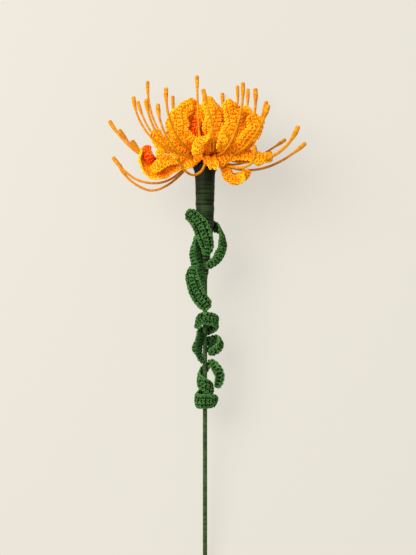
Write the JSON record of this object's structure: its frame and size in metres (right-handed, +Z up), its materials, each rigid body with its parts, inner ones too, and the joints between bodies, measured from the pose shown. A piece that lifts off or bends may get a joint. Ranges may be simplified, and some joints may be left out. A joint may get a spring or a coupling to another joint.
{
  "type": "crocheted pincushion protea flower",
  "caption": "Single crocheted pincushion protea head with curled petals and thread-wound wire styles, on a wrapped wire stem with twined leaves, lying down.",
  "frame": {"origin": "centre of the bounding box on the surface that the flower lies on", "axes": "+Y along the stem towards the head, +Z up from the surface, +X to the right of a viewer who looks down with the head away from them"},
  "size_m": [0.1294, 0.3612, 0.0903],
  "materials": {
    "marigold_cotton": "crocheted, matt",
    "marigold_thread": "wound thread, matt",
    "green_cotton": "crocheted, matt",
    "green_thread": "wound thread, matt",
    "florist_wire": "drawn, satin"
  },
  "bodies": {
    "root": {"stem_wire": "florist_wire", "stem_wrap": "green_thread", "neck_wrap": "green_thread", "flower_core": "green_thread", "style_01": "marigold_thread", "style_02": "marigold_thread", "style_03": "marigold_thread", "style_04": "marigold_thread", "style_05": "marigold_thread", "style_06": "marigold_thread", "style_07": "marigold_thread", "style_08": "marigold_thread", "style_09": "marigold_thread", "style_10": "marigold_thread", "style_11": "marigold_thread", "style_12": "marigold_thread", "style_13": "marigold_thread", "style_14": "marigold_thread", "style_15": "marigold_thread", "style_16": "marigold_thread", "style_17": "marigold_thread", "style_18": "marigold_thread", "style_19": "marigold_thread", "style_20": "marigold_thread", "style_21": "marigold_thread", "style_22": "marigold_thread", "style_23": "marigold_thread", "style_24": "marigold_thread", "style_25": "marigold_thread", "bent_style_01": "marigold_thread", "bent_style_02": "marigold_thread", "bent_style_03": "marigold_thread", "dome_petal_01": "marigold_cotton", "dome_petal_02": "marigold_cotton", "dome_petal_03": "marigold_cotton", "dome_petal_04": "marigold_cotton", "dome_petal_05": "marigold_cotton", "dome_petal_06": "marigold_cotton", "dome_petal_07": "marigold_cotton", "dome_petal_08": "marigold_cotton", "dome_petal_09": "marigold_cotton", "dome_petal_10": "marigold_cotton", "dome_petal_11": "marigold_cotton", "inner_petal_01": "marigold_cotton", "inner_petal_02": "marigold_cotton", "outer_petal_01": "marigold_cotton", "outer_petal_02": "marigold_cotton", "outer_petal_03": "marigold_cotton", "outer_petal_04": "marigold_cotton", "outer_petal_05": "marigold_cotton", "outer_petal_06": "marigold_cotton", "outer_petal_07": "marigold_cotton", "outer_petal_08": "marigold_cotton", "outer_petal_09": "marigold_cotton", "leaf_top": "green_cotton", "leaf_loop": "green_cotton", "leaf_middle": "green_cotton", "leaf_curl": "green_cotton", "leaf_side": "green_cotton", "leaf_foot": "green_cotton"}
  },
  "joints": []
}
